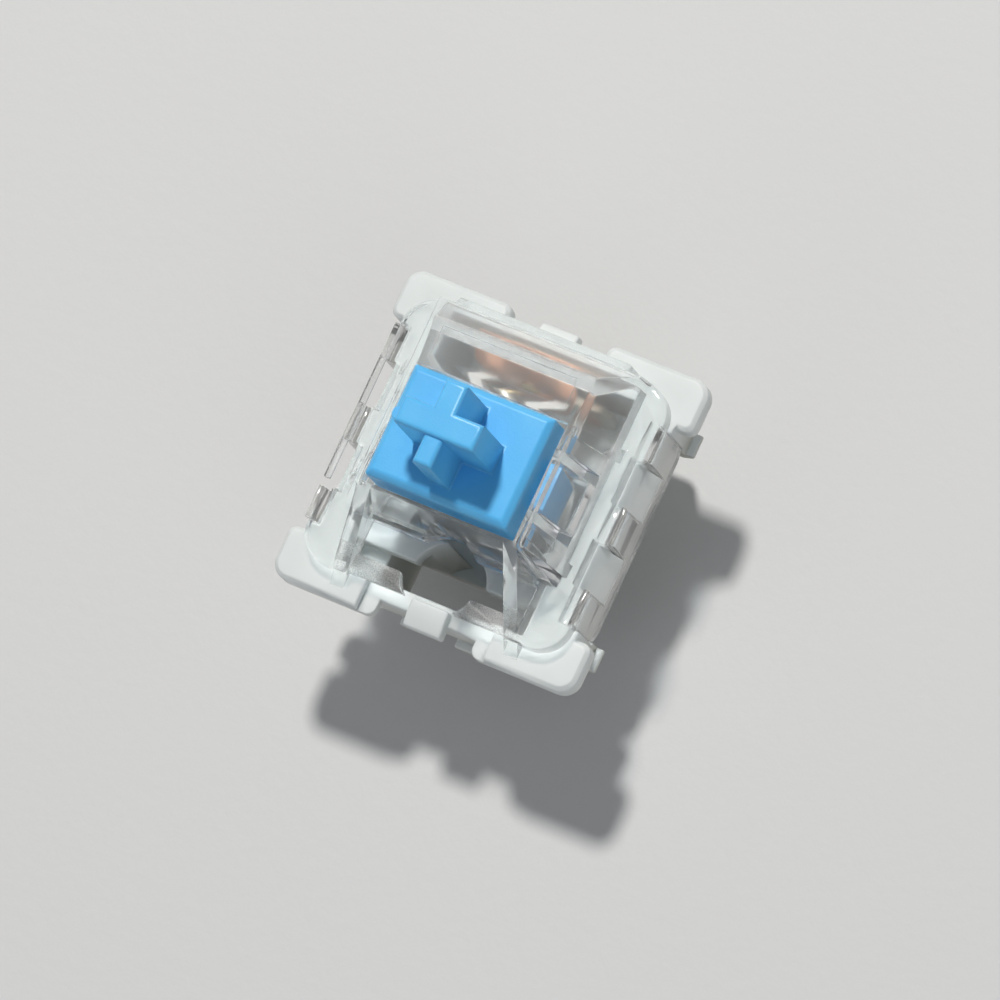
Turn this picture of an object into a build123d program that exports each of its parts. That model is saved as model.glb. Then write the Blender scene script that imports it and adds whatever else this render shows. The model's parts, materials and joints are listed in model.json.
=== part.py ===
from build123d import *
import math
import os

# A clicky mechanical keyboard switch, in millimetres.
# Origin: on the axis of the centre post, in the plane where the foot meets the circuit board.
# +Z is up along the stem, +Y is the contact side, -Y is the lamp window side.

# Driving dimensions of the housing
body_width = 13.95          # square body that drops into the 14 mm plate cut-out
flange_width = 15.6
flange_corner_radius = 0.85
plate_seat_z = 5.0          # underside of the flange, on top of the plate
flange_thickness = 1.0
plate_thickness = 1.5       # the sheet that the plate clips hold
collar_z = 3.5              # lower edge of the square collar
base_top_z = 7.1            # top of the clear cover's base plate
foot_x = 11.3               # tapered foot, at the board
foot_y = 12.8
foot_flare = 0.35           # growth of each side up to the collar
floor_thickness = 1.0
outer_edge_radius = 0.25
foot_corner_radius = 0.8
collar_corner_radius = 0.5
merge = 0.1                 # how far a fused form reaches into the one that carries it

# Corner pads and middle tabs of the flange
pad_inner_x = 2.5
pad_inner_y = 5.3
pad_end_radius = 0.45
pad_bevel = 0.2
tab_half_width = 0.95
tab_reach = 0.65
tab_root = 0.62
tab_drop = 0.25             # how far the tab's outer part slopes down
clip_reach = 0.4            # the clips stand this far out of the body, under the plate
clip_height = 0.9
clip_lip = 0.25
clip_root = 1.0
clip_near = 0.95            # front and back clips, distance from the middle
clip_far = 1.9
side_clip_near = 4.85
side_clip_far = 5.95
side_clip_top_z = 2.95      # lower than the front and back ones

# Cavity for the stem and the contacts
shaft_half_x = 4.9
shaft_front_y = -3.35
chamber_back_y = 5.75

# Centre post and guide tube
post_radius = 2.0
post_length = 3.3
post_chamfer = 0.4
tube_radius = 1.7
tube_top_z = 5.5
tube_bore_radius = 1.2
tube_bore_bottom_z = -2.4

# Lamp opening on the front side
lamp_y = -5.08
lamp_radius = 1.85
lamp_half_width = 3.3
lamp_back_y = -4.0
lamp_front_y = -6.1
lamp_shelf_y = -4.7
lamp_shelf_z = 5.3
lamp_shelf_thickness = 0.9
lamp_side_step = 1.4        # how much wider the recess is than the slot, on each side
front_wall_top_z = 5.5

# Clear upper housing
rim_z = 10.6
ceiling_thickness = 0.8
wall_thickness = 0.8
cavity_drop = 0.2           # the cavity's back slope starts this much under the outer one
cavity_setback = 0.5
base_overlap = 0.3          # how far the tower and the legs reach into the base plate
back_wall_half = 4.4
base_half_x = 6.75
base_half_y = 6.6
base_corner_radius = 1.5
tower_half_top = 4.2        # half width of the tower at the rim
tower_half_low = 5.5        # half width of the tower at its foot
cavity_half_top = 4.17
cavity_half_low = 4.95
window_clearance_x = 0.3
window_clearance_y = 0.2
back_wall_z = 7.6
back_slope_y = 6.5
back_slope_z = 8.05
back_top_y = 5.2
front_top_y = -3.1
front_low_y = -3.85
lip_edge = 0.18
fin_inner_top = 3.4
fin_thickness = 0.7
fin_flare = 0.75
fin_tip_y = -7.2
crossbar_front_y = -6.45
crossbar_back_y = -5.55
crossbar_thickness = 0.6
crossbar_notch_back = 1.55   # half width of the notch, at the bar's back and front
crossbar_notch_front = 0.9
guide_thickness = 0.5
panel_half_width = 3.45
panel_depth = 0.12
panel_front_margin = 0.6
panel_back_margin = 0.25

# Skirt of the upper housing, its windows, and the catches that fill them
skirt_half_length = 4.9
skirt_inner_x = 6.42
skirt_low_z = 3.4
skirt_corner_radius = 0.7
groove_inner_x = 6.2        # groove between the base plate and the skirt
groove_outer_x = 6.66
groove_bottom_z = 6.5
groove_overrun = 0.1
window_near_y = 0.9
window_far_y = 3.2
window_low_z = 4.3
window_inner_x = 6.05
window_rim_z = 6.7          # underside of the rim that closes the windows on the -X side
slit_near_y = 2.9
slit_far_y = 3.33
slit_inner_x = 6.5
slit_low_z = 5.6
skirt_gap = 0.05
catch_foot = 0.1            # upright part of the catch below its slope
catch_root_x = 5.6

# Ribs on the side slopes of the tower: middle at the foot and at the rim
rib_foot_x = 5.8
rib_rim_x = 4.38
rib_depth = 0.9
rib_foot_width = 0.62
rib_rim_width = 0.5
back_rib_foot_y = 2.99
back_rib_rim_y = 2.7
front_rib_foot_y = -2.79
front_rib_rim_y = -2.3

# Stem
travel = 4.0
block_x = 7.2
block_y = 5.5
block_top_z = 11.6
block_height = 3.6
block_bevel = 0.27
cross_top_z = 15.2
cross_length = 4.0
cross_arm_x = 1.3           # thickness of the arm that runs along X
cross_arm_y = 1.1           # thickness of the arm that runs along Y
cross_edge = 0.2
peg_width = 0.95            # the front half of the cross's arm along Y
peg_drop = 0.2
gate_reach = 0.35
gate_low_y = -0.5
gate_high_y = 0.1
gate_drop = 0.4
gate_height = 0.7
gate_edge = 0.25
rail_reach = 0.5
rail_half_width = 1.1
rail_clearance = 0.15
pole_radius = 1.1
stop_gap = 0.02
pocket_radius = 2.2
core_half = 2.5
core_lip = 0.2
core_lip_half_width = 1.4
core_lip_height = 0.3
core_wall_end = 0.05        # room left under the core at full travel
pole_tip_chamfer = 0.3
pocket_roof = 0.2
rib_thickness = 0.6

# Click jacket
click_travel = 0.85
jacket_clearance = 0.1
jacket_wall = 0.6
jacket_front_y = -2.75
cam_x = 1.9
cam_width = 0.9
cam_reach_y = 4.39
cam_height = 1.9
cam_nose_height = 0.55
cam_foot_gap = 0.5
cam_top_depth = 0.3

# Return spring
spring_radius = 1.95
spring_wire = 0.2
spring_turns = 9
spring_wire_sides = 6

# Contacts
sheet = 0.3
leaf_sheet = 0.12
fixed_pin_x = -3.81
fixed_pin_y = 2.54
moving_pin_x = 2.54
moving_pin_y = 5.08
pin_width = 1.0
pin_tip_width = 0.5
pin_length = 3.3
pin_taper = 1.0
slot_clearance = 0.05
tongue_y = 3.55
tongue_half_width = 1.0
tongue_top_z = 6.7
tongue_corner_radius = 0.9
web_height = 0.75
contact_z = 6.0
contact_radius = 0.45
contact_height = 0.2
contact_gap = 0.37
terminal_half_width = 3.6
terminal_top_z = 4.3
leaf_half_width = 2.6
leaf_foot_z = 1.3
leaf_bend_z = 3.1
leaf_bow_y = 4.68
leaf_bow_below = 0.8        # length of the straight bow under and over the contact
leaf_bow_above = 0.9
leaf_curl = 0.45
leaf_top_z = 8.1
leaf_window_half = 1.15
leaf_window_margin = 0.4
boss_x = 1.6
boss_z = 2.2
boss_radius = 0.35
boss_head_radius = 0.55
boss_head_height = 0.15
boss_head_gap = 0.14
boss_hole_clearance = 0.06
terminal_corner = 0.5

# Values that follow from those above
half_body = body_width / 2
half_flange = flange_width / 2
flange_top_z = plate_seat_z + flange_thickness
ceiling_z = rim_z - ceiling_thickness
window_half_x = block_x / 2 + window_clearance_x
window_half_y = block_y / 2 + window_clearance_y
block_low_z = block_top_z - block_height
stem_low_z = floor_thickness + travel + core_wall_end
rail_outer_x = block_x / 2 + rail_reach
pocket_top_z = rim_z - pocket_roof
skirt_outer_x = half_body - skirt_gap / 2
wall_outer_x = skirt_inner_x - skirt_gap
jacket_low_z = stem_low_z + core_lip_height + stop_gap
jacket_top_z = block_low_z - click_travel - stop_gap
big = 40.0                  # past every outer face
tiny = 0.01


def block(x0, x1, y0, y1, z0, z1):
    """A box from its low and high corners."""
    return Pos((x0 + x1) / 2, (y0 + y1) / 2, (z0 + z1) / 2) * Box(x1 - x0, y1 - y0, z1 - z0)


def rod(x, y, z0, z1, radius):
    """An upright cylinder."""
    return Pos(x, y, (z0 + z1) / 2) * Cylinder(radius, z1 - z0)


def rod_along_y(x, z, y0, y1, radius):
    """A cylinder lying along Y."""
    return Pos(x, (y0 + y1) / 2, z) * (Rot(90, 0, 0) * Cylinder(radius, y1 - y0))


def prism_x(points, x0, x1):
    """A (y, z) outline drawn out along X."""
    face = make_face(Polyline([(x0, y, z) for y, z in points], close=True))
    return extrude(face, amount=x1 - x0, dir=(1, 0, 0))


def prism_y(points, y0, y1):
    """An (x, z) outline drawn out along Y."""
    face = make_face(Polyline([(x, y0, z) for x, z in points], close=True))
    return extrude(face, amount=y1 - y0, dir=(0, 1, 0))


def prism_z(points, z0, z1):
    """An (x, y) outline drawn out along Z."""
    face = make_face(Polyline([(x, y, z0) for x, y in points], close=True))
    return extrude(face, amount=z1 - z0, dir=(0, 0, 1))


def rounded_plate(half_x, half_y, radius, z0, z1):
    """A flat plate with round corners."""
    plan = Pos(0, 0, z0) * RectangleRounded(2 * half_x, 2 * half_y, radius)
    return extrude(plan, amount=z1 - z0, dir=(0, 0, 1))


def both_sides(shape):
    """The shape and its mirror image across the YZ plane."""
    return shape + mirror(shape, about=Plane.YZ)


def four_ways(shape):
    """The shape and its images across the XZ and YZ planes."""
    return both_sides(shape + mirror(shape, about=Plane.XZ))


def flange():
    """Four corner pads, left where the rim is cut away between them."""
    rim = rounded_plate(half_flange, half_flange, flange_corner_radius, plate_seat_z, flange_top_z)
    rim -= block(-pad_inner_x, pad_inner_x, -big, big, 0, big)
    rim -= block(-big, big, -pad_inner_y, pad_inner_y, 0, big)
    ends = rim.edges().filter_by(Axis.Z).filter_by(
        lambda e: max(abs(e.center().X), abs(e.center().Y)) > half_flange - tiny)
    rim = fillet(ends, pad_end_radius)
    tops = rim.faces().filter_by(Axis.Z).filter_by(lambda f: f.center().Z > plate_seat_z + tiny)
    return chamfer(tops.edges(), pad_bevel)


def tab():
    """A middle tab on the front side: flat over the wall, then sloping down outwards."""
    root_y = -half_body + tab_root
    nose_y = -half_body - tab_reach
    return prism_x([(root_y, plate_seat_z), (root_y, flange_top_z), (-half_body, flange_top_z),
                    (nose_y, flange_top_z - tab_drop), (nose_y, plate_seat_z)],
                   -tab_half_width, tab_half_width)


def front_clip():
    """One of the wedges on the front side that snap under the plate."""
    root_y = -half_body + clip_root
    nose_y = -half_body - clip_reach
    top_z = plate_seat_z - plate_thickness
    outline = [(root_y, top_z - clip_height), (root_y, top_z + merge), (-half_body, top_z + merge),
               (-half_body, top_z), (nose_y, top_z), (nose_y, top_z - clip_lip),
               (-half_body + clip_lip, top_z - clip_height)]
    return prism_x(outline, clip_near, clip_far)


def side_clip():
    """One of the wedges near a corner on the +X side."""
    root_x = half_body - clip_root
    nose_x = half_body + clip_reach
    low_z = side_clip_top_z - clip_height
    outline = [(root_x, low_z), (root_x, collar_z + merge), (half_body, collar_z + merge),
               (half_body, side_clip_top_z), (nose_x, side_clip_top_z),
               (nose_x, side_clip_top_z - clip_lip), (half_body - clip_lip, low_z)]
    return prism_y(outline, side_clip_near, side_clip_far)


def foot():
    """The tapered foot between the board and the square collar."""
    low = RectangleRounded(foot_x, foot_y, foot_corner_radius)
    high = Pos(0, 0, collar_z) * RectangleRounded(foot_x + 2 * foot_flare, foot_y + 2 * foot_flare,
                                                  foot_corner_radius)
    return loft([low, high])


def centre_post():
    post = rod(0, 0, -post_length, floor_thickness / 2, post_radius)
    return chamfer(post.edges().filter_by(lambda e: e.center().Z < -post_length + tiny), post_chamfer)


def skirt_room():
    """What the bottom housing leaves free for the skirt of the cover, on the +X side."""
    half = skirt_half_length + skirt_gap
    upper = block(wall_outer_x, big, -half, half, collar_z - merge, big)
    return upper + block(window_inner_x, big, -half, half, collar_z - merge, window_low_z)


def catch():
    """The ramp that fills one window of the skirt."""
    low = window_low_z + skirt_gap
    near = window_near_y + skirt_gap
    far = window_far_y - skirt_gap
    cut = block(window_inner_x, big, near, far, low, big)
    ramp = prism_y([(catch_root_x, low), (skirt_outer_x, low), (skirt_outer_x, low + catch_foot),
                    (window_inner_x, flange_top_z), (catch_root_x, flange_top_z)], near, far)
    return cut, ramp


def pin_slot(x, y, width):
    half_x = width / 2 + slot_clearance
    half_y = sheet / 2 + slot_clearance
    return block(x - half_x, x + half_x, y - half_y, y + half_y, -big, floor_thickness + merge)


def bottom_housing():
    """The milky base: collar, flange pads, foot, post, guide tube and chambers."""
    shell = rounded_plate(half_body, half_body, collar_corner_radius, collar_z, flange_top_z)
    shell += flange()
    shell -= both_sides(skirt_room())
    shell += foot()

    # the room for the stem and the contacts
    shell -= block(-shaft_half_x, shaft_half_x, shaft_front_y, chamber_back_y, floor_thickness, big)

    # lamp opening
    shell -= block(-lamp_half_width, lamp_half_width, lamp_front_y, lamp_back_y, -big, big)
    recess = lamp_half_width + lamp_side_step
    shelf_low_z = lamp_shelf_z - lamp_shelf_thickness
    shell -= block(-recess, recess, lamp_front_y, lamp_back_y, shelf_low_z, big)
    shell -= block(-recess, recess, lamp_back_y - merge, shaft_front_y + merge, lamp_shelf_z, big)
    shell += block(-recess, recess, lamp_shelf_y, lamp_back_y, shelf_low_z, lamp_shelf_z)
    shell -= block(-lamp_half_width, lamp_half_width, -big, lamp_front_y + merge, front_wall_top_z, big)
    lamp = rod(0, lamp_y, floor_thickness, big, lamp_radius)
    shell -= lamp & block(-big, big, lamp_front_y, big, 0, big)

    # guides beside the stem's rails
    rib_low = rail_half_width + rail_clearance
    shell += four_ways(block(rail_outer_x - merge, shaft_half_x + merge, rib_low, rib_low + rib_thickness,
                             floor_thickness, flange_top_z))

    # catches for the cover, tabs, and clips for the plate
    cut, ramp = catch()
    shell -= four_ways(cut)
    shell += four_ways(ramp)
    shell += tab() + mirror(tab(), about=Plane.XZ)
    shell += four_ways(front_clip()) + four_ways(side_clip())

    # post, guide tube and bore
    shell += centre_post()
    shell += rod(0, 0, floor_thickness / 2, tube_top_z, tube_radius)
    shell -= rod(0, 0, tube_bore_bottom_z, big, tube_bore_radius)

    # slots for the two pins
    shell -= pin_slot(fixed_pin_x, fixed_pin_y, pin_width)
    shell -= pin_slot(moving_pin_x, moving_pin_y, pin_width)
    return shell


def tower():
    """Outer form of the clear tower: four sloping sides that meet at the rim."""
    side = [(-tower_half_low, flange_top_z), (tower_half_low, flange_top_z),
            (tower_half_low, base_top_z), (tower_half_top, rim_z),
            (-tower_half_top, rim_z), (-tower_half_low, base_top_z)]
    length = [(half_body, flange_top_z), (half_body, back_wall_z), (back_slope_y, back_slope_z),
              (back_top_y + lip_edge, rim_z - lip_edge), (back_top_y, rim_z),
              (front_top_y + lip_edge, rim_z), (front_top_y, rim_z - lip_edge),
              (front_low_y, flange_top_z)]
    return prism_y(side, -big, big) & prism_x(length, -big, big)


def tower_cavity():
    side = [(-cavity_half_low, 0), (cavity_half_low, 0), (cavity_half_low, base_top_z),
            (cavity_half_top, ceiling_z), (-cavity_half_top, ceiling_z),
            (-cavity_half_low, base_top_z)]
    back_y = half_body - wall_thickness
    length = [(-window_half_y, 0), (back_y, 0), (back_y, back_wall_z - cavity_drop),
              (back_top_y - cavity_setback, ceiling_z), (-window_half_y, ceiling_z)]
    return prism_y(side, -big, big) & prism_x(length, -big, big)


def fins():
    """Two triangular fins that run from the rim down to the front corner pads."""
    slab = prism_y([(fin_inner_top, rim_z - lip_edge), (fin_inner_top + fin_thickness, rim_z - lip_edge),
                    (fin_inner_top + fin_thickness + fin_flare, flange_top_z),
                    (fin_inner_top + fin_flare, flange_top_z)], -big, big)
    web = prism_x([(-window_half_y, rim_z - lip_edge), (front_top_y, rim_z - lip_edge),
                   (fin_tip_y, flange_top_z), (-window_half_y, flange_top_z)], 0, big)
    return both_sides(slab & web)


def slope_rib(foot_y, rim_y):
    """A rib that runs down one side slope of the tower."""
    low = Pos(rib_foot_x - rib_depth / 2, foot_y, base_top_z - merge) * Rectangle(rib_depth, rib_foot_width)
    high = Pos(rib_rim_x - rib_depth / 2, rim_y, rim_z - lip_edge) * Rectangle(rib_depth, rib_rim_width)
    return loft([low, high])


def skirt():
    """The skirt on the +X side, hanging from the base plate."""
    wall = block(skirt_inner_x, skirt_outer_x, -skirt_half_length, skirt_half_length,
                 skirt_low_z, base_top_z - skirt_gap)
    corners = wall.edges().filter_by(Axis.X).filter_by(lambda e: e.center().Z < skirt_low_z + tiny)
    return fillet(corners, skirt_corner_radius)


def skirt_window():
    """The opening in the skirt and the base plate that one catch fills."""
    return block(window_inner_x, big, window_near_y, window_far_y, window_low_z, big)


def top_housing():
    """The clear cover: base plate, tower, fins, lamp window and clip legs."""
    base = rounded_plate(base_half_x, base_half_y, base_corner_radius, flange_top_z, base_top_z)
    upper = base.faces().sort_by(Axis.Z)[-1]
    base = fillet(upper.edges(), outer_edge_radius)
    back = tower() & block(-back_wall_half, back_wall_half, base_half_y - base_overlap, big, 0, big)
    shell = base + (tower() - block(-big, big, base_half_y, big, 0, big)) + back
    shell += both_sides(skirt())
    shell += both_sides(slope_rib(back_rib_foot_y, back_rib_rim_y)
                        + slope_rib(front_rib_foot_y, front_rib_rim_y))
    shell -= tower_cavity()

    # grooves and windows of the skirt; on the -X side a thin rim closes the windows
    groove_end = skirt_half_length + groove_overrun
    shell -= both_sides(block(groove_inner_x, groove_outer_x, -groove_end, groove_end, groove_bottom_z, big))
    shell -= four_ways(skirt_window())
    shell += block(-skirt_outer_x, -groove_outer_x, -window_far_y - merge, window_far_y + merge,
                   window_rim_z, base_top_z - skirt_gap)
    shell -= block(-big, -slit_inner_x, -slit_far_y, -slit_near_y, slit_low_z, big)

    # lamp window between the fins, closed in front by a low cross bar
    inner = fin_inner_top + fin_flare
    shell -= block(-inner, inner, -big, front_low_y, 0, big)
    shell += fins()
    bar = block(-inner - merge, inner + merge, crossbar_front_y, crossbar_back_y,
                flange_top_z, flange_top_z + crossbar_thickness)
    notch_front_y = crossbar_front_y - merge
    bar -= prism_z([(-crossbar_notch_back, crossbar_back_y), (-crossbar_notch_front, notch_front_y),
                    (crossbar_notch_front, notch_front_y), (crossbar_notch_back, crossbar_back_y)], 0, big)
    shell += bar
    shell -= rod(0, lamp_y, 0, big, lamp_radius) & block(-big, big, -big, front_top_y, 0, big)

    # stem window, guides and the bare panel behind it
    shell -= block(-window_half_x, window_half_x, -window_half_y, window_half_y, 0, big)
    low = rail_half_width + rail_clearance
    guide = block(window_half_x, tower_half_low, low, low + guide_thickness,
                  base_top_z, ceiling_z) & tower()
    shell += four_ways(guide)
    shell -= block(-panel_half_width, panel_half_width, window_half_y + panel_front_margin,
                   back_top_y - panel_back_margin, rim_z - panel_depth, big)
    return shell


def stem():
    """The keycap cross, its block, side rails, spring core and guide pole."""
    body = block(-block_x / 2, block_x / 2, -block_y / 2, block_y / 2, block_low_z, block_top_z)
    body = chamfer(body.faces().sort_by(Axis.Z)[-1].edges(), block_bevel)
    arm_x = block(-cross_length / 2, cross_length / 2, -cross_arm_x / 2, cross_arm_x / 2,
                  block_top_z - merge, cross_top_z)
    arm_y = block(-cross_arm_y / 2, cross_arm_y / 2, 0, cross_length / 2, block_top_z - merge, cross_top_z)
    peg = block(-peg_width / 2, peg_width / 2, -cross_length / 2, 0,
                block_top_z - merge, cross_top_z - peg_drop)
    peg = fillet(peg.faces().sort_by(Axis.Z)[-1].edges(), cross_edge)
    cross = arm_x + arm_y
    cross = fillet(cross.faces().sort_by(Axis.Z)[-1].edges(), cross_edge)
    body += cross + peg
    gate_top_z = cross_top_z - gate_drop
    gate = block(-cross_length / 2 - gate_reach, -cross_length / 2 + merge, gate_low_y, gate_high_y,
                 gate_top_z - gate_height, gate_top_z)
    body += fillet(gate.edges().filter_by(Axis.Z).sort_by(Axis.X)[:2], gate_edge)
    core = block(-core_half, core_half, -core_half, core_half, stem_low_z, block_low_z + merge)
    core += block(-core_half - core_lip, core_half + core_lip, -core_lip_half_width, core_lip_half_width,
                  stem_low_z, stem_low_z + core_lip_height)
    body += core
    rail = block(block_x / 2 - block_bevel, rail_outer_x, -rail_half_width, rail_half_width,
                 stem_low_z + merge, ceiling_z - stop_gap)
    body += both_sides(rail)
    body -= rod(0, 0, 0, pocket_top_z, pocket_radius)
    pole_low_z = tube_bore_bottom_z + travel + stop_gap
    pole = rod(0, 0, pole_low_z, pocket_top_z + merge, pole_radius)
    pole = chamfer(pole.edges().sort_by(Axis.Z)[0], pole_tip_chamfer)
    return body + pole


def click_jacket():
    """A sliding collar round three sides of the core, with two cams for the leaf."""
    inner = core_half + jacket_clearance
    outer = inner + jacket_wall
    collar = block(-outer, outer, jacket_front_y, inner + jacket_wall - merge, jacket_low_z, jacket_top_z)
    collar -= block(-inner, inner, -big, inner, 0, big)
    cam_low_z = jacket_low_z + cam_foot_gap
    cam_top_z = cam_low_z + cam_height
    clear_y = block_y / 2 + jacket_clearance
    cam = prism_x([(inner, cam_low_z), (cam_reach_y, cam_low_z),
                   (cam_reach_y, cam_low_z + cam_nose_height), (clear_y + cam_top_depth, cam_top_z),
                   (clear_y, cam_top_z), (clear_y, jacket_top_z), (inner, jacket_top_z)],
                  cam_x - cam_width / 2, cam_x + cam_width / 2)
    return collar + both_sides(cam)


def return_spring():
    """A compression spring with ground ends; its wire has a six-sided section."""
    low = floor_thickness
    high = pocket_top_z
    height = high - low
    pitch = height / spring_turns
    path = Pos(0, 0, low) * Helix(pitch, height, spring_radius)
    start = path @ 0
    section = Plane(start, z_dir=path % 0) * RegularPolygon(spring_wire / 2, spring_wire_sides)
    coil = sweep(section, path=path, is_frenet=True)
    return coil & block(-big, big, -big, big, low, high)


def pin(x, y):
    """A flat solder pin with a tapered tip."""
    half = pin_width / 2
    tip = pin_tip_width / 2
    shoulder_z = -pin_length + pin_taper
    outline = [(x - half, floor_thickness), (x + half, floor_thickness), (x + half, shoulder_z),
               (x + tip, -pin_length), (x - tip, -pin_length), (x - half, shoulder_z)]
    return prism_y(outline, y - sheet / 2, y + sheet / 2)


def fixed_contact():
    """A folded plate: pin, side web, cross web and the tongue that carries the point."""
    left = fixed_pin_x - sheet / 2
    plate = pin(fixed_pin_x, fixed_pin_y)
    web_top = floor_thickness + web_height
    plate += block(fixed_pin_x - pin_width / 2, fixed_pin_x + pin_width / 2,
                   fixed_pin_y - sheet / 2, fixed_pin_y + sheet / 2, floor_thickness - merge, web_top)
    plate += block(left, left + sheet, fixed_pin_y - sheet / 2, tongue_y + sheet, floor_thickness, web_top)
    plate += block(left, tongue_half_width, tongue_y, tongue_y + sheet, floor_thickness, web_top)
    tongue = block(-tongue_half_width, tongue_half_width, tongue_y, tongue_y + sheet,
                   floor_thickness, tongue_top_z)
    corners = tongue.edges().filter_by(Axis.Y).sort_by(Axis.Z)[-2:]
    return plate + fillet(corners, tongue_corner_radius)


def leaf_line():
    """The bowed middle line of the leaf, from its foot to its curled top."""
    root_y = moving_pin_y - sheet / 2 - leaf_sheet / 2
    return [(root_y, leaf_foot_z), (root_y, leaf_bend_z), (leaf_bow_y, contact_z - leaf_bow_below),
            (leaf_bow_y, contact_z + leaf_bow_above), (leaf_bow_y + leaf_curl, leaf_top_z)]


def moving_contact_leaf():
    """A thin bowed spring sheet with a window between its two arms."""
    middle = leaf_line()
    half = leaf_sheet / 2
    front = [(y - half, z) for y, z in middle]
    rear = [(y + half, z) for y, z in reversed(middle)]
    leaf = prism_x(front + rear, -leaf_half_width, leaf_half_width)
    leaf -= block(-leaf_window_half, leaf_window_half, 0, big, leaf_bend_z + leaf_window_margin,
                  contact_z - leaf_bow_above)
    for side in (-1, 1):
        leaf -= rod_along_y(side * boss_x, boss_z, 0, big, boss_radius + boss_hole_clearance)
    return leaf


def fixed_contact_point():
    face = tongue_y + sheet
    return rod_along_y(0, contact_z, face, face + contact_height, contact_radius)


def moving_contact_point():
    face = leaf_bow_y - leaf_sheet / 2
    tip = tongue_y + sheet + contact_height + contact_gap
    return rod_along_y(0, contact_z, tip, face, contact_radius)


def moving_contact_terminal():
    """The rear plate and its pin, with two staked bosses that hold the leaf."""
    rear = moving_pin_y + sheet / 2
    front = moving_pin_y - sheet / 2
    plate = block(-terminal_half_width, terminal_half_width, front, rear, floor_thickness, terminal_top_z)
    plate = chamfer(plate.edges().filter_by(Axis.Y).sort_by(Axis.Z)[-2:], terminal_corner)
    plate += pin(moving_pin_x, moving_pin_y)
    head_y = front - leaf_sheet - boss_head_gap
    for side in (-1, 1):
        plate += rod_along_y(side * boss_x, boss_z, head_y, front + merge, boss_radius)
        plate += rod_along_y(side * boss_x, boss_z, head_y - boss_head_height, head_y, boss_head_radius)
    return plate


pieces = {
    "bottom_housing": bottom_housing,
    "top_housing": top_housing,
    "stem": stem,
    "click_jacket": click_jacket,
    "return_spring": return_spring,
    "fixed_contact": fixed_contact,
    "fixed_contact_point": fixed_contact_point,
    "moving_contact_terminal": moving_contact_terminal,
    "moving_contact_leaf": moving_contact_leaf,
    "moving_contact_point": moving_contact_point,
}

os.makedirs("parts", exist_ok=True)
for name, make in pieces.items():
    shape = make()
    shape.label = name
    export_step(shape, f"parts/{name}.step")
    print(name, len(shape.solids()), round(shape.volume, 3))
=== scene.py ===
import bpy
import bmesh
import json
import math
from mathutils import Matrix, Vector
from mathutils.bvhtree import BVHTree

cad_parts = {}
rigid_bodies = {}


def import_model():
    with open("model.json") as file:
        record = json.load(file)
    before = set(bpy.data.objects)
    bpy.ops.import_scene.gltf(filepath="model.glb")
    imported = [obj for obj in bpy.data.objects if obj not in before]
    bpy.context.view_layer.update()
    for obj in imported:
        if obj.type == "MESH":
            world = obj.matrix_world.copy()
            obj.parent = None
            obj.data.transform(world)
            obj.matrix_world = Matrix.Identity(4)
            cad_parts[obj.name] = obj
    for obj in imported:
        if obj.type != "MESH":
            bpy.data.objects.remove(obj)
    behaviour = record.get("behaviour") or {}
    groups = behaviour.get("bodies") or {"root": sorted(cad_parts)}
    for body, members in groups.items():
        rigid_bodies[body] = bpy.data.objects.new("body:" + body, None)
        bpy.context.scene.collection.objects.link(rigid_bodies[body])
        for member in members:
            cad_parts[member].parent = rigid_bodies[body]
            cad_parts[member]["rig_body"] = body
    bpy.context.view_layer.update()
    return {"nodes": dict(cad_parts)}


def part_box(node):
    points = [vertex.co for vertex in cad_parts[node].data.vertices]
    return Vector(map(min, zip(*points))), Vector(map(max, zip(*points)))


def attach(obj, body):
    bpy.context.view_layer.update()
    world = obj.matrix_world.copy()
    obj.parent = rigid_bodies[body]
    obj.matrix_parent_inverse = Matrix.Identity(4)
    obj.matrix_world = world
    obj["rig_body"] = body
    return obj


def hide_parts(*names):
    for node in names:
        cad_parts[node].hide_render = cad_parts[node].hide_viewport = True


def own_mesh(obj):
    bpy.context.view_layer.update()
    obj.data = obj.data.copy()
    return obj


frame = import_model()
print("frame loaded")

mm = 0.001

# the camera stands high to the right of the switch, a little to its lamp window's side
cameraSetup = {
    "aim": (0.886 * mm, -0.737 * mm, 6.0 * mm),
    "azimuth": -23.67,
    "elevation": 68.79,
    "roll": -42.78,
    "distance": 394.0 * mm,
    "lens": 314.0,
    "sensor": 36.0,
    "nearest": 0.01,
    "furthest": 10.0,
}

studioSetup = {
    "floorZ": -3.3 * mm,
    "floorHalf": 0.9,
    "floorColour": (216, 217, 218),
    "floorRoughness": 0.75,
    "grainScale": 1400.0,
    "grainDetail": 3.0,
    "grainStrength": 0.12,
    "grainDepth": 0.2 * mm,
    "farColour": (212, 213, 214),       # the far floor as it is seen, out of the lamps' reach
    "fadeNear": 0.07,           # distances where it sets in and where it is full
    "fadeFar": 0.30,
    "worldColour": (236, 238, 241),
    "worldStrength": 0.23,
    "backdropColour": (212, 213, 214),      # near the horizon
    "ceilingColour": (112, 116, 122),
    "ceilingFrom": 0.15,        # sines of the angles up where it sets in and where it is full
    "ceilingFull": 0.9,
    "lampAim": (0, 0, 6.0 * mm),
    # name, place, diameter, watts, colour
    "lamps": (
        ("keyLamp", (-0.075, 0.215, 0.44), 0.05, 1.85, (255, 252, 247)),
        ("fillLamp", (0.32, -0.20, 0.34), 0.34, 0.22, (246, 249, 255)),
        ("frontLamp", (-0.16, -0.40, 0.26), 0.30, 0.14, (250, 250, 255)),
    ),
}


def colour(red, green, blue):
    # screen values 0 to 255 to linear light
    def linear(value):
        value = value / 255
        return value / 12.92 if value <= 0.04045 else ((value + 0.055) / 1.055) ** 2.4
    return (linear(red), linear(green), linear(blue), 1.0)


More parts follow.
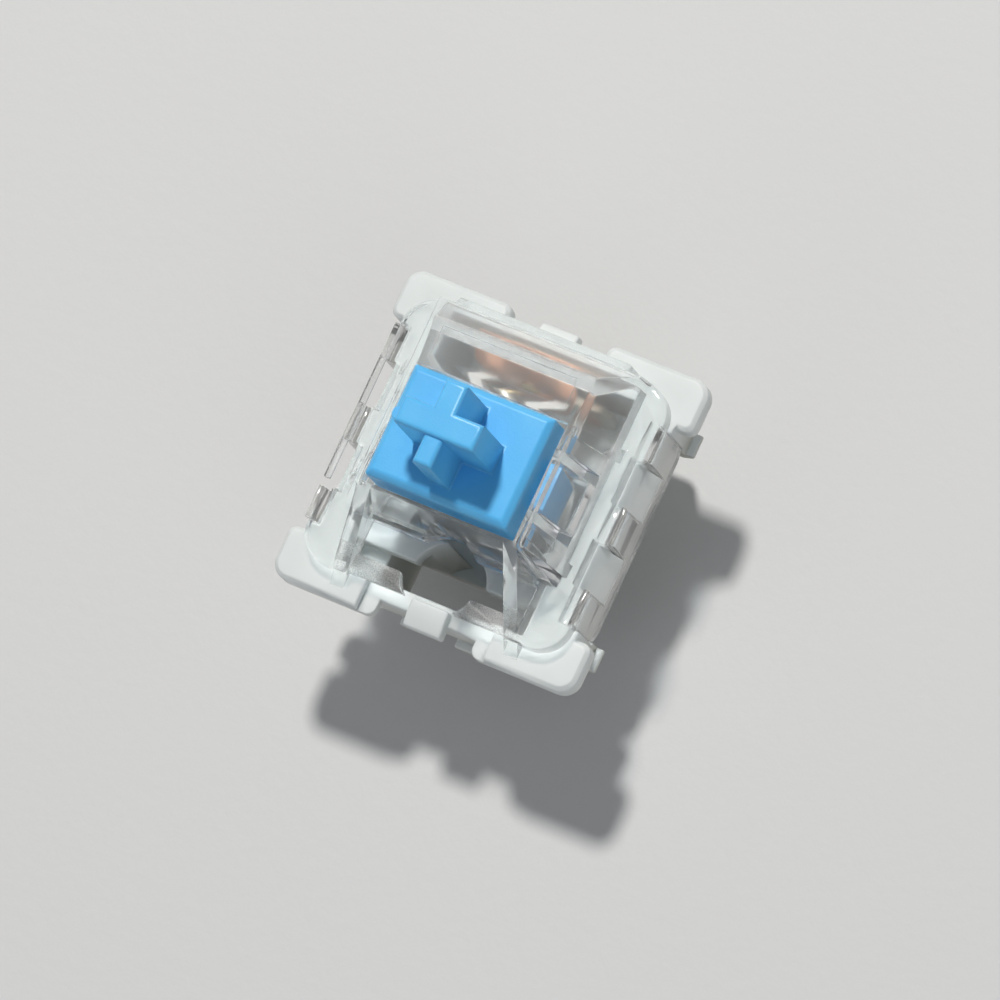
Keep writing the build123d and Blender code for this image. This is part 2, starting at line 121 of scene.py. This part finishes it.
def aimedTurn(place, target, roll=0.0):
    outward = (Vector(place) - Vector(target)).normalized()
    turn = outward.to_track_quat("Z", "Y").to_matrix()
    return (turn @ Matrix.Rotation(math.radians(roll), 3, "Z")).to_euler()


def addObject(name, data):
    added = bpy.data.objects.new(name, data)
    bpy.context.scene.collection.objects.link(added)
    return added


def addCamera(setup):
    azimuth = math.radians(setup["azimuth"])
    elevation = math.radians(setup["elevation"])
    outward = Vector((math.cos(azimuth) * math.cos(elevation),
                      math.sin(azimuth) * math.cos(elevation), math.sin(elevation)))
    place = Vector(setup["aim"]) + outward * setup["distance"]
    lensData = bpy.data.cameras.new("camera")
    lensData.lens = setup["lens"]
    lensData.sensor_width = setup["sensor"]
    lensData.clip_start = setup["nearest"]
    lensData.clip_end = setup["furthest"]
    camera = addObject("camera", lensData)
    camera.location = place
    camera.rotation_euler = aimedTurn(place, setup["aim"], setup["roll"])
    bpy.context.scene.camera = camera


def addLamp(name, place, diameter, watts, tint):
    lampData = bpy.data.lights.new(name, "AREA")
    lampData.shape = "DISK"
    lampData.size = diameter
    lampData.energy = watts
    lampData.color = colour(*tint)[:3]
    lamp = addObject(name, lampData)
    lamp.location = place
    lamp.rotation_euler = aimedTurn(place, studioSetup["lampAim"])


def setValues(node, **values):
    # a value names an input socket (spaces as _) or a setting of the node
    for key, value in values.items():
        socket = key.replace("_", " ")
        if socket in node.inputs:
            node.inputs[socket].default_value = value
        else:
            setattr(node, key, value)
    return node


def put(tree, kind, **values):
    return setValues(tree.nodes.new("ShaderNode" + kind), **values)


def join(tree, start, outName, end, inName):
    tree.links.new(start.outputs[outName], end.inputs[inName])


def putTones(tree, low, high):
    # a colour that runs from low to high with its factor
    return put(tree, "Mix", data_type="RGBA", A=colour(*low), B=colour(*high))


def newFinish(name):
    material = bpy.data.materials.new(name)
    material.use_nodes = True
    return material, material.node_tree, material.node_tree.nodes["Principled BSDF"]


def seenBehind(tree, lit, seen):
    # what the camera, a mirror or glass sees differs from what lights the object
    rays = put(tree, "LightPath")
    either = put(tree, "Math", operation="MAXIMUM")
    anyOf = put(tree, "Math", operation="MAXIMUM")
    mix = put(tree, "MixShader")
    join(tree, rays, "Is Camera Ray", either, 0)
    join(tree, rays, "Is Glossy Ray", either, 1)
    join(tree, either, 0, anyOf, 0)
    join(tree, rays, "Is Transmission Ray", anyOf, 1)
    join(tree, anyOf, 0, mix, 0)
    join(tree, lit, 0, mix, 1)
    join(tree, seen, 0, mix, 2)
    return mix


def addWorld(setup):
    world = bpy.data.worlds.new("studioWorld")
    bpy.context.scene.world = world
    world.use_nodes = True
    tree = world.node_tree
    tree.nodes.clear()
    lit = put(tree, "Background", Color=colour(*setup["worldColour"]), Strength=setup["worldStrength"])
    seen = put(tree, "Background", Strength=1.0)
    # the backdrop is pale near the horizon and greyer overhead
    place = put(tree, "TexCoord")
    height = put(tree, "SeparateXYZ")
    rise = put(tree, "MapRange", From_Min=setup["ceilingFrom"], From_Max=setup["ceilingFull"])
    shade = putTones(tree, setup["backdropColour"], setup["ceilingColour"])
    output = put(tree, "OutputWorld")
    join(tree, place, "Generated", height, "Vector")
    join(tree, height, "Z", rise, "Value")
    join(tree, rise, "Result", shade, "Factor")
    join(tree, shade, "Result", seen, "Color")
    join(tree, seenBehind(tree, lit, seen), 0, output, "Surface")


def addFloor(setup):
    half = setup["floorHalf"]
    floorMesh = bpy.data.meshes.new("studioFloor")
    corners = [(-half, -half, 0), (half, -half, 0), (half, half, 0), (-half, half, 0)]
    floorMesh.from_pydata(corners, [], [(0, 1, 2, 3)])
    floor = addObject("studioFloor", floorMesh)
    floor.location.z = setup["floorZ"]
    paper, tree, finish = newFinish("floorPaper")
    setValues(finish, Base_Color=colour(*setup["floorColour"]), Roughness=setup["floorRoughness"])
    place = put(tree, "TexCoord")
    grain = put(tree, "TexNoise", Scale=setup["grainScale"], Detail=setup["grainDetail"])
    bump = put(tree, "Bump", Strength=setup["grainStrength"], Distance=setup["grainDepth"])
    join(tree, place, "Object", grain, "Vector")
    join(tree, grain, "Fac", bump, "Height")
    join(tree, bump, "Normal", finish, "Normal")
    # far from the object the paper runs evenly into the backdrop
    reach = put(tree, "VectorMath", operation="LENGTH")
    fade = put(tree, "MapRange", From_Min=setup["fadeNear"], From_Max=setup["fadeFar"],
               interpolation_type="SMOOTHSTEP")
    far = put(tree, "Emission", Color=colour(*setup["farColour"]), Strength=1.0)
    blended = put(tree, "MixShader")
    join(tree, place, "Object", reach, 0)
    join(tree, reach, "Value", fade, "Value")
    join(tree, fade, "Result", blended, 0)
    join(tree, finish, 0, blended, 1)
    join(tree, far, 0, blended, 2)
    join(tree, seenBehind(tree, finish, blended), 0, tree.nodes["Material Output"], "Surface")
    floorMesh.materials.append(paper)


addCamera(cameraSetup)
addWorld(studioSetup)
addFloor(studioSetup)
for lampRow in studioSetup["lamps"]:
    addLamp(*lampRow)
bpy.context.scene.view_settings.view_transform = "Standard"
print("camera, lamps, world and floor made")

# the part of the moulded skin that is the same on every plastic
skinSetup = {
    "grainDetail": 2.0,
    "grainRoughness": 0.6,
    "grainDepth": 0.03 * mm,
    "waveDetail": 1.5,
    "waveRoughness": 0.4,
    "waveDepth": 0.1 * mm,
    "edgeSamples": 6,
    "edgeTurn": 0.85,       # cosine between the softened and the true normal at a full edge
}


def newGroup(name, inputs, outputs):
    group = bpy.data.node_groups.new(name, "ShaderNodeTree")
    for label in inputs:
        group.interface.new_socket(label, in_out="INPUT", socket_type="NodeSocketFloat")
    for label, kind in outputs:
        group.interface.new_socket(label, in_out="OUTPUT", socket_type=kind)
    return group, group.nodes.new("NodeGroupInput"), group.nodes.new("NodeGroupOutput")


def makeMouldedSkin(setup):
    # fine spark grain, slow sink waves and softened edges of a moulded part
    group, into, out = newGroup(
        "mouldedSkin",
        ["Grain Scale", "Grain Height", "Wave Scale", "Wave Height", "Edge Radius"],
        [("Normal", "NodeSocketVector"), ("Edge", "NodeSocketFloat"), ("Flow", "NodeSocketFloat")])
    place = put(group, "TexCoord")
    grain = put(group, "TexNoise", Detail=setup["grainDetail"], Roughness=setup["grainRoughness"])
    wave = put(group, "TexNoise", Detail=setup["waveDetail"], Roughness=setup["waveRoughness"])
    soft = put(group, "Bevel", samples=setup["edgeSamples"])
    waveBump = put(group, "Bump", Distance=setup["waveDepth"])
    grainBump = put(group, "Bump", Distance=setup["grainDepth"])
    join(group, place, "Object", grain, "Vector")
    join(group, place, "Object", wave, "Vector")
    join(group, into, "Grain Scale", grain, "Scale")
    join(group, into, "Wave Scale", wave, "Scale")
    join(group, into, "Edge Radius", soft, "Radius")
    join(group, soft, "Normal", waveBump, "Normal")
    join(group, wave, "Fac", waveBump, "Height")
    join(group, into, "Wave Height", waveBump, "Strength")
    join(group, waveBump, "Normal", grainBump, "Normal")
    join(group, grain, "Fac", grainBump, "Height")
    join(group, into, "Grain Height", grainBump, "Strength")
    join(group, grainBump, "Normal", out, "Normal")
    # an edge is where the softened normal leaves the true one
    shape = put(group, "NewGeometry")
    dot = put(group, "VectorMath", operation="DOT_PRODUCT")
    edge = put(group, "MapRange", From_Min=1.0, From_Max=setup["edgeTurn"])
    join(group, soft, "Normal", dot, 0)
    join(group, shape, "Normal", dot, 1)
    join(group, dot, "Value", edge, "Value")
    join(group, edge, "Result", out, "Edge")
    join(group, wave, "Fac", out, "Flow")
    return group


mouldedSkin = makeMouldedSkin(skinSetup)


def placeSkin(tree, finish, values):
    skin = put(tree, "Group", node_tree=mouldedSkin)
    for label, value in values.items():
        skin.inputs[label].default_value = value
    join(tree, skin, "Normal", finish, "Normal")
    return skin


def tintedBy(tree, finish, mask, output, low, high):
    # base colour runs between two tones with a mask
    tones = putTones(tree, low, high)
    join(tree, mask, output, tones, "Factor")
    join(tree, tones, "Result", finish, "Base Color")
    return tones


def makePlastic(name, setup):
    # a plastic that light enters a little way, with the moulded skin; also gives its tones
    material, tree, finish = newFinish(name)
    setValues(finish, Roughness=setup["roughness"], Subsurface_Weight=setup["scatter"],
              Subsurface_Radius=setup["scatterTint"], Subsurface_Scale=setup["scatterReach"],
              IOR=setup["ior"])
    skin = placeSkin(tree, finish, setup["skin"])
    return material, tintedBy(tree, finish, skin, "Flow", setup["shade"], setup["tone"])


milkySetup = {
    "tone": (226, 231, 231),
    "shade": (214, 220, 220),
    "roughness": 0.42,
    "ior": 1.49,
    "scatter": 0.35,
    "scatterTint": (1.0, 1.0, 1.0),
    "scatterReach": 0.9 * mm,
    "skin": {
        "Grain Scale": 7000.0,
        "Grain Height": 0.09,
        "Wave Scale": 420.0,
        "Wave Height": 0.12,
        "Edge Radius": 0.12 * mm,
    },
    "paintedSideShade": (194, 195, 187),       # painted shade: the greyer tone painted on the thinner walls under the flange
    "shadeHeightFrom": 5.9 * mm,      # heights where it sets in and where it is full
    "shadeHeightFull": 3.2 * mm,
    "shadeFacingFrom": 0.85,       # how far a wall faces up where it sets in and where it is full
    "shadeFacingFull": 0.3,
}


def makeMilkyPlastic(setup):
    material, clouded = makePlastic("milkyPlastic", setup)
    tree = material.node_tree
    # painted shade: walls turned sideways and lying low are painted a greyer tone, standing in for the
    # shade on them and the dark seen through them
    place = put(tree, "TexCoord")
    height = put(tree, "SeparateXYZ")
    shape = put(tree, "NewGeometry")
    facing = put(tree, "SeparateXYZ")
    lowShadeMask = put(tree, "MapRange", From_Min=setup["shadeHeightFrom"], From_Max=setup["shadeHeightFull"])
    sideShadeMask = put(tree, "MapRange", From_Min=setup["shadeFacingFrom"], From_Max=setup["shadeFacingFull"])
    paintedShadeMask = put(tree, "Math", operation="MULTIPLY")
    paintedShadeMix = put(tree, "Mix", data_type="RGBA", B=colour(*setup["paintedSideShade"]))
    join(tree, place, "Object", height, "Vector")
    join(tree, height, "Z", lowShadeMask, "Value")
    join(tree, shape, "True Normal", facing, "Vector")
    join(tree, facing, "Z", sideShadeMask, "Value")
    join(tree, lowShadeMask, "Result", paintedShadeMask, 0)
    join(tree, sideShadeMask, "Result", paintedShadeMask, 1)
    join(tree, paintedShadeMask, 0, paintedShadeMix, "Factor")
    join(tree, clouded, "Result", paintedShadeMix, "A")
    join(tree, paintedShadeMix, "Result", tree.nodes["Principled BSDF"], "Base Color")
    return material


clearSetup = {
    "tone": (240, 240, 239),
    "roughness": 0.05,
    "ior": 1.42,
    "through": 0.90,            # the rest scatters and gives the faint haze
    "shadowTone": (226, 229, 231),
    "frostLow": (-4.7 * mm, -6.6 * mm, 6.3 * mm),       # the frosted bar across the front
    "frostHigh": (4.7 * mm, -5.4 * mm, 9.0 * mm),
    "frostRoughness": 0.30,
    "frostGrain": 0.5,          # height of its grain, beside 0 on the rest
    "panelLow": (-4.6 * mm, 2.6 * mm, 8.5 * mm),        # the bare panel at the back of the top
    "panelHigh": (4.6 * mm, 6.2 * mm, 12.5 * mm),
    "panelRoughness": 0.16,
    "edgeRoughness": 0.35,
    "speckTone": (186, 186, 185),       # darker grains of the frosted skin
    "speckScale": 15000.0,
    "speckDetail": 1.0,
    "speckFrom": 0.40,
    "speckFull": 0.60,
    "waveScale": 500.0,
    "edgeRadius": 0.02 * mm,
}


def boxMask(tree, low, high):
    # 1 inside the box, 0 outside it
    place = put(tree, "TexCoord")
    above = put(tree, "VectorMath", operation="SUBTRACT")
    below = put(tree, "VectorMath", operation="SUBTRACT")
    nearest = put(tree, "VectorMath", operation="MINIMUM")
    parts = put(tree, "SeparateXYZ")
    firstTwo = put(tree, "Math", operation="MINIMUM")
    allThree = put(tree, "Math", operation="MINIMUM")
    inside = put(tree, "Math", operation="GREATER_THAN")
    above.inputs[1].default_value = low
    below.inputs[0].default_value = high
    inside.inputs[1].default_value = 0.0
    join(tree, place, "Object", above, 0)
    join(tree, place, "Object", below, 1)
    join(tree, above, 0, nearest, 0)
    join(tree, below, 0, nearest, 1)
    join(tree, nearest, 0, parts, 0)
    join(tree, parts, "X", firstTwo, 0)
    join(tree, parts, "Y", firstTwo, 1)
    join(tree, firstTwo, 0, allThree, 0)
    join(tree, parts, "Z", allThree, 1)
    join(tree, allThree, 0, inside, 0)
    return inside


def letLampsThrough(tree, finish, tone):
    # lamp light passes the clear wall, so what stands behind it is lit
    rays = put(tree, "LightPath")
    clearWay = put(tree, "BsdfTransparent", Color=colour(*tone))
    mix = put(tree, "MixShader")
    join(tree, rays, "Is Shadow Ray", mix, 0)
    join(tree, finish, 0, mix, 1)
    join(tree, clearWay, 0, mix, 2)
    join(tree, mix, 0, tree.nodes["Material Output"], "Surface")


def makeClearPlastic(setup):
    material, tree, finish = newFinish("clearPlastic")
    setValues(finish, IOR=setup["ior"], Transmission_Weight=setup["through"])
    skin = placeSkin(tree, finish, {"Grain Scale": setup["speckScale"], "Wave Scale": setup["waveScale"],
                                    "Wave Height": 0.0, "Edge Radius": setup["edgeRadius"]})
    # the crossbar's skin is spark eroded, the panel is matt, edges scatter and the rest is polished
    frost = boxMask(tree, setup["frostLow"], setup["frostHigh"])
    panel = boxMask(tree, setup["panelLow"], setup["panelHigh"])
    masks = ((frost, 0, setup["frostRoughness"]), (panel, 0, setup["panelRoughness"]),
             (skin, "Edge", setup["edgeRoughness"]))
    roughest = put(tree, "Value")
    roughest.outputs[0].default_value = setup["roughness"]
    for mask, output, amount in masks:
        scaled = put(tree, "Math", operation="MULTIPLY")
        scaled.inputs[1].default_value = amount
        larger = put(tree, "Math", operation="MAXIMUM")
        join(tree, mask, output, scaled, 0)
        join(tree, scaled, 0, larger, 0)
        join(tree, roughest, 0, larger, 1)
        roughest = larger
    join(tree, roughest, 0, finish, "Roughness")
    grain = put(tree, "MapRange", To_Min=0.0, To_Max=setup["frostGrain"])
    join(tree, frost, 0, grain, "Value")
    join(tree, grain, "Result", skin, "Grain Height")
    # dark and light grains in the frosted skin
    place = put(tree, "TexCoord")
    specks = put(tree, "TexNoise", Scale=setup["speckScale"], Detail=setup["speckDetail"])
    sharp = put(tree, "MapRange", From_Min=setup["speckFrom"], From_Max=setup["speckFull"])
    frosted = put(tree, "Math", operation="MULTIPLY")
    join(tree, place, "Object", specks, "Vector")
    join(tree, specks, "Fac", sharp, "Value")
    join(tree, sharp, "Result", frosted, 0)
    join(tree, frost, 0, frosted, 1)
    tintedBy(tree, finish, frosted, 0, setup["tone"], setup["speckTone"])
    letLampsThrough(tree, finish, setup["shadowTone"])
    return material


blueSetup = {
    "tone": (102, 198, 252),
    "shade": (84, 184, 246),
    "roughness": 0.32,
    "ior": 1.46,
    "scatter": 0.1,
    "scatterTint": (0.4, 0.7, 1.0),
    "scatterReach": 0.3 * mm,
    "skin": {
        "Grain Scale": 11000.0,
        "Grain Height": 0.16,
        "Wave Scale": 600.0,
        "Wave Height": 0.2,
        "Edge Radius": 0.1 * mm,
    },
}

whiteSetup = {
    "tone": (240, 240, 236),
    "shade": (228, 228, 224),
    "roughness": 0.4,
    "ior": 1.48,
    "scatter": 0.15,
    "scatterTint": (1.0, 1.0, 1.0),
    "scatterReach": 0.4 * mm,
    "skin": {
        "Grain Scale": 6000.0,
        "Grain Height": 0.07,
        "Wave Scale": 700.0,
        "Wave Height": 0.1,
        "Edge Radius": 0.06 * mm,
    },
}

# slot, name, low tone, high tone, roughness, scale of the lines, how the lines are drawn out
metalRows = (
    ("spring_steel", "springSteel", (190, 192, 196), (214, 216, 220), 0.24, 9000.0, (1, 1, 0.2)),
    ("terminal_metal", "terminalMetal", (196, 192, 178), (222, 218, 204), 0.34, 9000.0, (1, 1, 0.06)),
    ("copper_leaf", "copperLeaf", (206, 142, 104), (236, 178, 142), 0.36, 9000.0, (0.06, 1, 1)),
    ("contact_metal", "contactMetal", (206, 172, 104), (232, 204, 140), 0.26, 6000.0, (1, 1, 1)),
)

metalSetup = {
    "lineDetail": 3.0,
    "lineRoughness": 0.7,
    "lineStrength": 0.15,
    "lineDepth": 0.008 * mm,
    "tarnishScale": 900.0,
    "tarnishDetail": 3.0,
    "tarnishRoughness": 0.6,
    "edgeRadius": 0.04 * mm,
    "edgeSamples": 4,
}


def makeRolledMetal(name, low, high, roughness, lineScale, stretch):
    # rolled sheet or drawn wire: fine lines one way, a slow tarnish over them
    setup = metalSetup
    material, tree, finish = newFinish(name)
    setValues(finish, Metallic=1.0, Roughness=roughness)
    place = put(tree, "TexCoord")
    squeeze = put(tree, "Mapping", Scale=stretch)
    lines = put(tree, "TexNoise", Scale=lineScale, Detail=setup["lineDetail"],
                Roughness=setup["lineRoughness"])
    tarnish = put(tree, "TexNoise", Scale=setup["tarnishScale"], Detail=setup["tarnishDetail"],
                  Roughness=setup["tarnishRoughness"])
    soft = put(tree, "Bevel", samples=setup["edgeSamples"], Radius=setup["edgeRadius"])
    bump = put(tree, "Bump", Strength=setup["lineStrength"], Distance=setup["lineDepth"])
    join(tree, place, "Object", squeeze, "Vector")
    join(tree, squeeze, "Vector", lines, "Vector")
    join(tree, place, "Object", tarnish, "Vector")
    join(tree, soft, "Normal", bump, "Normal")
    join(tree, lines, "Fac", bump, "Height")
    join(tree, bump, "Normal", finish, "Normal")
    tintedBy(tree, finish, tarnish, "Fac", low, high)
    return material


finishes = {
    "milky_plastic": makeMilkyPlastic(milkySetup),
    "clear_plastic": makeClearPlastic(clearSetup),
    "blue_plastic": makePlastic("bluePlastic", blueSetup)[0],
    "white_plastic": makePlastic("whitePlastic", whiteSetup)[0],
}
for slotName, *metalRow in metalRows:
    finishes[slotName] = makeRolledMetal(*metalRow)
slotOf = {node: solid.data.materials[0].name for node, solid in frame["nodes"].items()}
print("finishes made")

# each piece's edge radius and the distance under which its points are joined, in mm
softSetup = {
    "bottom_housing": {"radius": 0.08, "merge": 0.0005},
    "top_housing": {"radius": 0.06, "merge": 0.0005},
    "stem": {"radius": 0.09, "merge": 0.02},
    "click_jacket": {"radius": 0.05, "merge": 0.0005},
    "fixed_contact": {"radius": 0.03, "merge": 0.0005},
    "moving_contact_terminal": {"radius": 0.03, "merge": 0.0005},
    "moving_contact_leaf": {"radius": 0.015, "merge": 0.0005},
    "fixed_contact_point": {"radius": 0.03, "merge": 0.0005},
    "moving_contact_point": {"radius": 0.03, "merge": 0.0005},
}

roundingSetup = {
    "sharpAngle": math.radians(28),     # where an edge counts as sharp
    "flatAngle": math.radians(0.6),     # below it two faces are one
    "leastRoom": 2.2,       # a rounded edge and those that meet it are at least this many radii long
    "spoiledReach": 1.6,    # radii from a spoiled corner within which an edge stays sharp
    "leastArea": 1e-14,     # a smaller face, in square metres, is one squeezed flat
    "segments": 2,
    "mostRounds": 8,
    "areaWeight": 50,       # 50 is neutral, more favours the large faces
    "areaMargin": 0.0001,   # faces whose weights differ by less count alike
}


def weighEdges(shell, radius):
    # marks the sharp edges, and among them those that have room to be rounded
    weight = shell.edges.layers.float.new("bevel_weight_edge")
    for edge in shell.edges:
        if not edge.is_manifold or edge.calc_face_angle(0) < roundingSetup["sharpAngle"]:
            continue
        around = [other.calc_length() for corner in edge.verts for other in corner.link_edges]
        roomy = min(around) >= roundingSetup["leastRoom"] * radius * mm
        edge[weight] = 1.0 if roomy else 0.0
        edge.smooth = roomy


def spoiledPlaces(piece):
    # corners of the rounded faces that cut through each other or are squeezed flat
    shown = piece.evaluated_get(bpy.context.evaluated_depsgraph_get())
    rounded = bmesh.new()
    rounded.from_mesh(shown.to_mesh())
    shown.to_mesh_clear()
    bmesh.ops.triangulate(rounded, faces=rounded.faces)
    rounded.faces.ensure_lookup_table()
    tree = BVHTree.FromBMesh(rounded, epsilon=0.0)
    places = []
    for first, second in tree.overlap(tree):
        corners = set(rounded.faces[first].verts)
        others = set(rounded.faces[second].verts)
        if first < second and not corners & others:
            places += [corner.co.copy() for corner in corners | others]
    for face in rounded.faces:
        if face.calc_area() < roundingSetup["leastArea"]:
            places += [corner.co.copy() for corner in face.verts]
    rounded.free()
    return places


def gapTo(place, start, end):
    along = end - start
    share = (place - start).dot(along) / along.length_squared
    return (start + along * min(max(share, 0.0), 1.0) - place).length


def roundEdges(piece, radius):
    # gives how many edges are rounded and how many spoiled corners are left
    rounding = piece.modifiers.new("roundedEdges", "BEVEL")
    rounding.width = radius * mm
    rounding.segments = roundingSetup["segments"]
    rounding.limit_method = "WEIGHT"
    rounding.use_clamp_overlap = False
    flatness = piece.modifiers.new("flatFacesStayFlat", "WEIGHTED_NORMAL")
    flatness.mode = "FACE_AREA"
    flatness.weight = roundingSetup["areaWeight"]
    flatness.thresh = roundingSetup["areaMargin"]
    flatness.keep_sharp = True
    mesh = piece.data
    reach = roundingSetup["spoiledReach"] * radius * mm
    for attempt in range(roundingSetup["mostRounds"]):
        places = spoiledPlaces(piece)
        if not places:
            break
        # edges whose rounding spoils a place stay sharp
        weights = mesh.attributes["bevel_weight_edge"].data
        spoiling = []
        for edge in mesh.edges:
            start, end = [mesh.vertices[corner].co for corner in edge.vertices]
            near = min(gapTo(place, start, end) for place in places) < reach
            if near and weights[edge.index].value > 0:
                spoiling.append(edge.index)
        for index in spoiling:
            weights[index].value = 0.0
        # a sharp mark may move the weights, so it comes after them
        for index in spoiling:
            mesh.edges[index].use_edge_sharp = True
        mesh.update()
        piece.update_tag()
        bpy.context.view_layer.update()
    weights = mesh.attributes["bevel_weight_edge"].data
    return sum(1 for weight in weights if weight.value > 0), len(places)


def addSoftened(node, setup):
    # the same form with its flat faces joined up, its curves smooth and the edges that
    # have room rounded
    source = frame["nodes"][node]
    shell = bmesh.new()
    shell.from_mesh(source.data)
    bmesh.ops.remove_doubles(shell, verts=shell.verts, dist=setup["merge"] * mm)
    bmesh.ops.dissolve_limit(shell, angle_limit=roundingSetup["flatAngle"],
                             verts=shell.verts, edges=shell.edges)
    weighEdges(shell, setup["radius"])
    softMesh = bpy.data.meshes.new(node + "_soft")
    shell.to_mesh(softMesh)
    shell.free()
    piece = addObject(node + "_soft", softMesh)
    softMesh.materials.append(finishes[slotOf[node]])
    softMesh.polygons.foreach_set("use_smooth", [True] * len(softMesh.polygons))
    roundedCount, cornersLeft = roundEdges(piece, setup["radius"])
    print("softened", node, "edges rounded", roundedCount, "spoiled corners left", cornersLeft)
    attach(piece, source["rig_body"])
    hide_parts(node)


for nodeName, pieceSetup in softSetup.items():
    addSoftened(nodeName, pieceSetup)

# lengths in mm
springSetup = {
    "radius": 1.95,
    "wire": 0.2,
    "turns": 10.5,          # with the closed turn at each end
    "closedTurns": 0.75,
    "ease": 0.02,           # how softly the pitch changes next to the closed turns
    "stepsPerTurn": 40,
    "wireSides": 12,
    "keep": 0.574,          # share of its length left when the stem is pressed down
}


def springHeight(setup, turn, low, high):
    # height of the wire's middle after so many turns: closed ends, open coils between
    half = setup["wire"] / 2
    closed = setup["closedTurns"]
    endRise = closed * setup["wire"]
    openTurns = setup["turns"] - 2 * closed
    openRise = high - low - 2 * half - 2 * endRise
    if turn < closed:
        return low + half + turn * setup["wire"]
    if turn > setup["turns"] - closed:
        return high - half - (setup["turns"] - turn) * setup["wire"]
    share = (turn - closed) / openTurns
    eased = share + setup["ease"] * math.sin(2 * math.pi * share)
    return low + half + endRise + openRise * eased


def addSpring(setup):
    lowCorner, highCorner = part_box("return_spring")
    low = lowCorner[2] / mm
    high = highCorner[2] / mm
    count = int(setup["turns"] * setup["stepsPerTurn"])
    sides = setup["wireSides"]
    half = setup["wire"] / 2
    coil = bmesh.new()
    rings = []
    for step in range(count + 1):
        turn = step / setup["stepsPerTurn"]
        angle = 2 * math.pi * turn
        middle = springHeight(setup, turn, low, high)
        ring = []
        for side in range(sides):
            around = 2 * math.pi * (side + 0.5) / sides
            reach = setup["radius"] + half * math.cos(around)
            height = middle + half * math.sin(around)
            # the ends are ground flat
            height = min(max(height, low), high)
            corner = (reach * math.cos(angle) * mm, reach * math.sin(angle) * mm, height * mm)
            ring.append(coil.verts.new(corner))
        rings.append(ring)
    for first, second in zip(rings, rings[1:]):
        for side in range(sides):
            after = (side + 1) % sides
            coil.faces.new((first[side], first[after], second[after], second[side]))
    coil.faces.new(list(reversed(rings[0])))
    coil.faces.new(rings[-1])
    bmesh.ops.recalc_face_normals(coil, faces=coil.faces)
    springMesh = bpy.data.meshes.new("returnSpringWire")
    coil.to_mesh(springMesh)
    coil.free()
    springMesh.polygons.foreach_set("use_smooth", [True] * len(springMesh.polygons))
    springMesh.materials.append(finishes["spring_steel"])
    spring = addObject("returnSpringWire", springMesh)
    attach(spring, "housing")
    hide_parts("return_spring")
    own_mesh(spring)


addSpring(springSetup)
print("spring wound")
